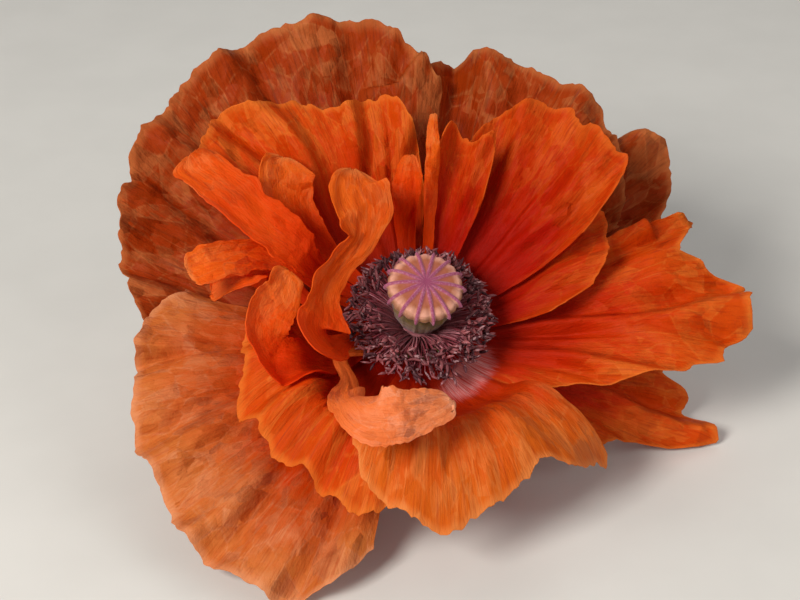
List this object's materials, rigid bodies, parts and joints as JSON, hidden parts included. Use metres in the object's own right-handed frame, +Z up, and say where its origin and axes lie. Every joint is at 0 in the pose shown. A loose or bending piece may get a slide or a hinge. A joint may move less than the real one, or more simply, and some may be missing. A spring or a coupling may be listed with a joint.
{
  "type": "poppy flower",
  "caption": "Picked oriental poppy bloom with ruffled layered orange petals, curled inner petals, a dark stamen ring, a ribbed seed capsule and a short bent stem.",
  "frame": {"origin": "middle of the bounding box's base, on the table that the picked flower lies on", "axes": "+Z up from the table, +Y back along the stem, -Y the side that the open bloom faces, +X right"},
  "size_m": [0.1511, 0.1751, 0.0931],
  "materials": {
    "petal_outer": "satin",
    "petal_middle": "satin",
    "petal_inner": "satin",
    "petaloid": "satin",
    "pistil": "matte",
    "stamens": "matte",
    "stem": "matte"
  },
  "bodies": {
    "root": {"petal_back_lobe": "petal_outer", "petal_back_right": "petal_outer", "petal_back_left": "petal_outer", "petal_low_right": "petal_middle", "petal_low_left": "petal_outer", "petal_right": "petal_middle", "petal_mid_left": "petal_middle", "petal_front": "petal_middle", "petal_mid_right": "petal_inner", "petal_mid_upper_left": "petal_middle", "petal_inner_right": "petal_inner", "petal_inner_top": "petal_inner", "petaloid_curled": "petaloid", "petaloid_tongue": "petaloid", "petaloid_folded": "petaloid", "petaloid_finger_long": "petaloid", "petaloid_finger_short": "petaloid", "petaloid_curtain": "petaloid", "petaloid_wing": "petaloid", "petaloid_spike": "petaloid", "petaloid_crumpled": "petaloid", "pistil": "pistil", "stamens": "stamens", "stem": "stem"}
  },
  "joints": []
}
